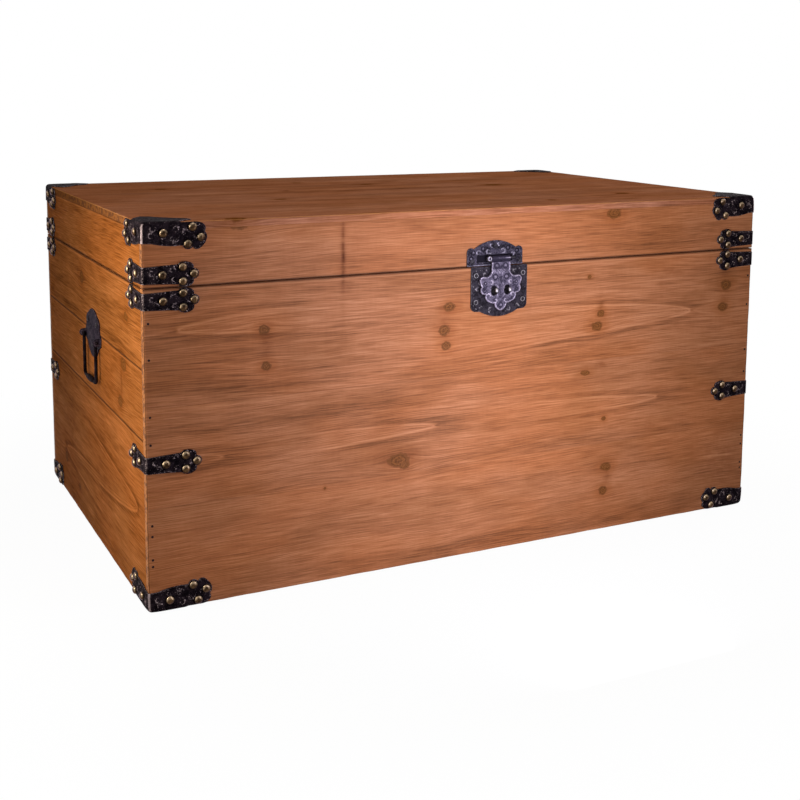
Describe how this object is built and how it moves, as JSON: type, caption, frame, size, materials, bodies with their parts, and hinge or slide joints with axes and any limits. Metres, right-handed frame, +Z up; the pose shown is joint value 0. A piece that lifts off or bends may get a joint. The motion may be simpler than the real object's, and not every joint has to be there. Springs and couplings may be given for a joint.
{
  "type": "sea chest",
  "caption": "Flat-topped wooden sea chest with a hinged lid, iron corner brackets and straps, dome nails, a front hasp for a padlock and a drop handle on each side.",
  "frame": {"origin": "on the floor, under the middle of the whole chest's bounding box", "axes": "+Z up, -Y the front with the hasp, +X to the right seen from the front"},
  "size_m": [0.7788, 0.512, 0.3924],
  "materials": {
    "pine": "stained knotty softwood, satin varnish",
    "panel_wood": "plain plywood",
    "dark_iron": "embossed, blackened, rubbed bright on the edges",
    "antique_brass": "antique dome",
    "bright_steel": "plain wire, slightly dulled"
  },
  "bodies": {
    "base": {"back_board_lower": "pine", "back_board_middle": "pine", "back_board_upper": "pine", "base_corner_bracket_back_left": "dark_iron", "base_corner_bracket_back_right": "dark_iron", "base_corner_bracket_front_left": "dark_iron", "base_corner_bracket_front_right": "dark_iron", "base_dome_nails": "antique_brass", "base_middle_strap_back_left": "dark_iron", "base_middle_strap_back_right": "dark_iron", "base_middle_strap_front_left": "dark_iron", "base_middle_strap_front_right": "dark_iron", "base_screws": "bright_steel", "base_upper_strap_back_left": "dark_iron", "base_upper_strap_back_right": "dark_iron", "base_upper_strap_front_left": "dark_iron", "base_upper_strap_front_right": "dark_iron", "bottom_panel": "panel_wood", "front_board_lower": "pine", "front_board_middle": "pine", "front_board_upper": "pine", "hasp_lower_plate": "dark_iron", "hinge_pins": "bright_steel", "left_board_lower": "pine", "left_board_middle": "pine", "left_board_upper": "pine", "left_handle_plate": "dark_iron", "left_hinge_base_leaf": "dark_iron", "padlock_eyes": "bright_steel", "right_board_lower": "pine", "right_board_middle": "pine", "right_board_upper": "pine", "right_handle_plate": "dark_iron", "right_hinge_base_leaf": "dark_iron", "wall_brads": "bright_steel"},
    "lid": {"lid_back_rail": "pine", "lid_corner_bracket_back_left": "dark_iron", "lid_corner_bracket_back_right": "dark_iron", "lid_corner_bracket_front_left": "dark_iron", "lid_corner_bracket_front_right": "dark_iron", "lid_dome_nails": "antique_brass", "lid_front_rail": "pine", "lid_left_rail": "pine", "lid_right_rail": "pine", "lid_screws": "bright_steel", "lid_strap_back_left": "dark_iron", "lid_strap_back_right": "dark_iron", "lid_strap_front_left": "dark_iron", "lid_strap_front_right": "dark_iron", "lid_top_board_back": "pine", "lid_top_board_front": "pine", "lid_top_board_middle": "pine", "hasp_upper_plate": "dark_iron", "hasp_pin": "bright_steel", "left_hinge_lid_leaf": "dark_iron", "right_hinge_lid_leaf": "dark_iron"},
    "hasp": {"hasp_tongue": "dark_iron"},
    "left_bail": {"left_bail": "dark_iron"},
    "right_bail": {"right_bail": "dark_iron"}
  },
  "joints": [
    {"name": "lid_hinge", "type": "hinge", "parent": "base", "child": "lid", "pos_m": [0, 0.2473, 0.3272], "axis": [-1, 0, 0], "range_deg": [0, 100]},
    {"name": "hasp_hinge", "type": "hinge", "parent": "lid", "child": "hasp", "pos_m": [0.0175, -0.2476, 0.3358], "axis": [-1, 0, 0], "range_deg": [0, 165]},
    {"name": "left_bail_hinge", "type": "hinge", "parent": "base", "child": "left_bail", "pos_m": [-0.3852, -0.0244, 0.2392], "axis": [0, 1, 0], "range_deg": [0, 180]},
    {"name": "right_bail_hinge", "type": "hinge", "parent": "base", "child": "right_bail", "pos_m": [0.3852, -0.0244, 0.2392], "axis": [0, -1, 0], "range_deg": [0, 180]}
  ]
}
